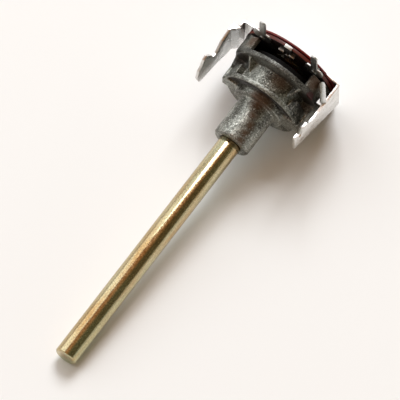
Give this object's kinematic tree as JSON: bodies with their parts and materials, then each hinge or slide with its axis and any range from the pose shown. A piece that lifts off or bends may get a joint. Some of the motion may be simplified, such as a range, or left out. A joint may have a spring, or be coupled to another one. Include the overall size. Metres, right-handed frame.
{
  "type": "rotary potentiometer",
  "caption": "Panel-mount rotary potentiometer: die-cast front with plain bushing and long plain shaft, two wafers, three solder lugs, and a folded steel strap with two forward legs.",
  "frame": {"origin": "on the shaft axis, at the mounting face of the front casting", "axes": "+X along the shaft axis from its free end into the head, +Z toward the solder lugs, +Y toward the stepped leg of the strap"},
  "size_m": [0.0982, 0.0313, 0.033],
  "materials": {
    "zinc": "as die cast, dull, with small pits and brown stains",
    "strap_steel": "tinned, bright",
    "srbp_front": "punched resin-bonded paper, satin",
    "srbp_back": "punched resin-bonded paper, satin",
    "paper": "dull",
    "carbon_film": "dull",
    "silvered_brass": "satin",
    "tinned": "hot tinned, soft sheen",
    "passivated_steel": "turned, yellow passivated, glossy",
    "brass": "satin",
    "spring_steel": "dull",
    "phenolic": "moulded, satin",
    "bronze": "satin",
    "carbon": "dull"
  },
  "bodies": {
    "base": {"housing": "zinc", "bracket": "strap_steel", "track_wafer": "srbp_front", "spacer": "paper", "back_wafer": "srbp_back", "carbon_track": "carbon_film", "collector_ring": "silvered_brass", "lug_left": "tinned", "lug_middle": "tinned", "lug_right": "tinned", "rivet_left": "tinned", "rivet_middle": "tinned", "rivet_right": "tinned"},
    "rotor": {"shaft": "passivated_steel", "thrust_washer": "brass", "shaft_clip": "spring_steel", "stop_plate": "spring_steel", "rotor_disc": "phenolic", "wiper_spring": "bronze", "track_brush": "carbon", "ring_contact": "brass"}
  },
  "joints": [
    {"name": "shaft_turn", "type": "hinge", "parent": "base", "child": "rotor", "pos_m": [0, 0, 0], "axis": [1, 0, 0], "range_deg": [-139, 139]}
  ]
}
